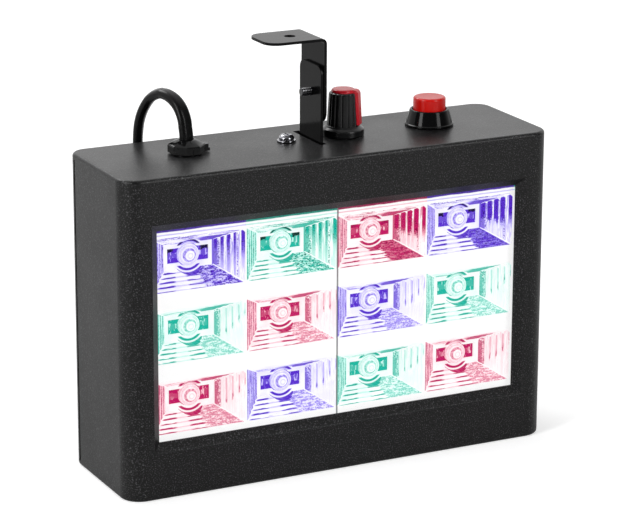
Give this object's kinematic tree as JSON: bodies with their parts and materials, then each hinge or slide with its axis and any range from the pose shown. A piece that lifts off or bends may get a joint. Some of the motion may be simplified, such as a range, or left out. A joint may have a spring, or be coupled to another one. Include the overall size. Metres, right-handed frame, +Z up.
{
  "type": "strobe light",
  "caption": "Box-shaped LED strobe light with a bevelled window over coloured reflector cells, a tilting bracket, a speed knob, a push button and a mains cord.",
  "frame": {"origin": "on the surface that the housing stands on, under the middle of the housing", "axes": "+Z up, the window faces -Y, +X runs to the right of someone facing the window"},
  "size_m": [0.165, 0.1289, 0.1513],
  "materials": {
    "housing_black": "satin black with a fine grain",
    "clear_pane": "clear, polished",
    "reflector_mirror": "vacuum metallised, bright",
    "white_board": "white solder mask",
    "green_board": "green solder mask",
    "steel": "zinc plated",
    "chrome": "polished",
    "bracket_black": "gloss black paint",
    "knob_black": "satin black",
    "gloss_black": "gloss black",
    "control_red": "semi-gloss red",
    "cord_black": "satin black sheath",
    "bead_purple": "clear lens over a purple emitter",
    "bead_teal": "clear lens over a teal emitter",
    "bead_crimson": "clear lens over a crimson emitter",
    "transformer_yellow": "wound core with tape",
    "capacitor_blue": "sleeved can",
    "terminal_green": "moulded green",
    "lead_red": "insulated ribbon",
    "lead_blue": "insulated ribbon",
    "lead_white": "insulated ribbon"
  },
  "bodies": {
    "housing": {"front_shell": "housing_black", "rear_cover": "housing_black", "window_pane": "clear_pane", "reflector_left": "reflector_mirror", "reflector_right": "reflector_mirror", "lamp_board": "white_board", "rear_cover_screw_1": "steel", "rear_cover_screw_2": "steel", "rear_cover_screw_3": "steel", "rear_cover_screw_4": "steel", "lamp_board_screw_1": "steel", "lamp_board_screw_2": "steel", "lamp_board_screw_3": "steel", "lamp_board_screw_4": "steel", "lamp_bead_1_1": "bead_purple", "lamp_bead_1_2": "bead_teal", "lamp_bead_1_3": "bead_crimson", "lamp_bead_1_4": "bead_purple", "lamp_bead_2_1": "bead_teal", "lamp_bead_2_2": "bead_crimson", "lamp_bead_2_3": "bead_purple", "lamp_bead_2_4": "bead_teal", "lamp_bead_3_1": "bead_crimson", "lamp_bead_3_2": "bead_purple", "lamp_bead_3_3": "bead_teal", "lamp_bead_3_4": "bead_crimson", "lower_bracket": "bracket_black", "pivot_screw": "bracket_black", "foot_screw": "chrome", "foot_washer": "chrome", "foot_nut": "steel", "pot_body": "steel", "pot_nut": "steel", "switch_body": "gloss_black", "switch_nut": "gloss_black", "button_spring": "steel", "cord_bushing": "gloss_black", "power_cord": "cord_black", "cord_coil": "cord_black", "plug_body": "cord_black", "plug_pin_1": "chrome", "plug_pin_2": "chrome", "driver_board": "green_board", "driver_board_screw_1": "steel", "driver_board_screw_2": "steel", "driver_transformer": "transformer_yellow", "driver_capacitor": "capacitor_blue", "driver_transistor_1": "knob_black", "driver_transistor_2": "knob_black", "driver_transistor_3": "knob_black", "mains_terminal": "terminal_green", "mains_lead": "cord_black", "switch_lead": "lead_red", "speed_lead": "lead_blue", "lamp_lead": "lead_white"},
    "bracket_arm": {"upper_bracket": "bracket_black"},
    "knob": {"speed_knob": "knob_black", "knob_cap": "control_red", "pot_shaft": "steel"},
    "button": {"push_button": "control_red"}
  },
  "joints": [
    {"name": "bracket_tilt", "type": "hinge", "parent": "housing", "child": "bracket_arm", "pos_m": [0.001, 0.0026, 0.1311], "axis": [1, 0, 0], "range_deg": [-90, 90]},
    {"name": "knob_turn", "type": "hinge", "parent": "housing", "child": "knob", "pos_m": [0.0132, 0.0026, 0.1143], "axis": [0, 0, 1], "range_deg": [-150, 150]},
    {"name": "button_press", "type": "slide", "parent": "housing", "child": "button", "axis": [0, 0, 1], "range_m": [-0.0016, 0], "stiffness_N_per_m": 800, "springref_m": 0.002, "deforming": ["button_spring"]}
  ]
}
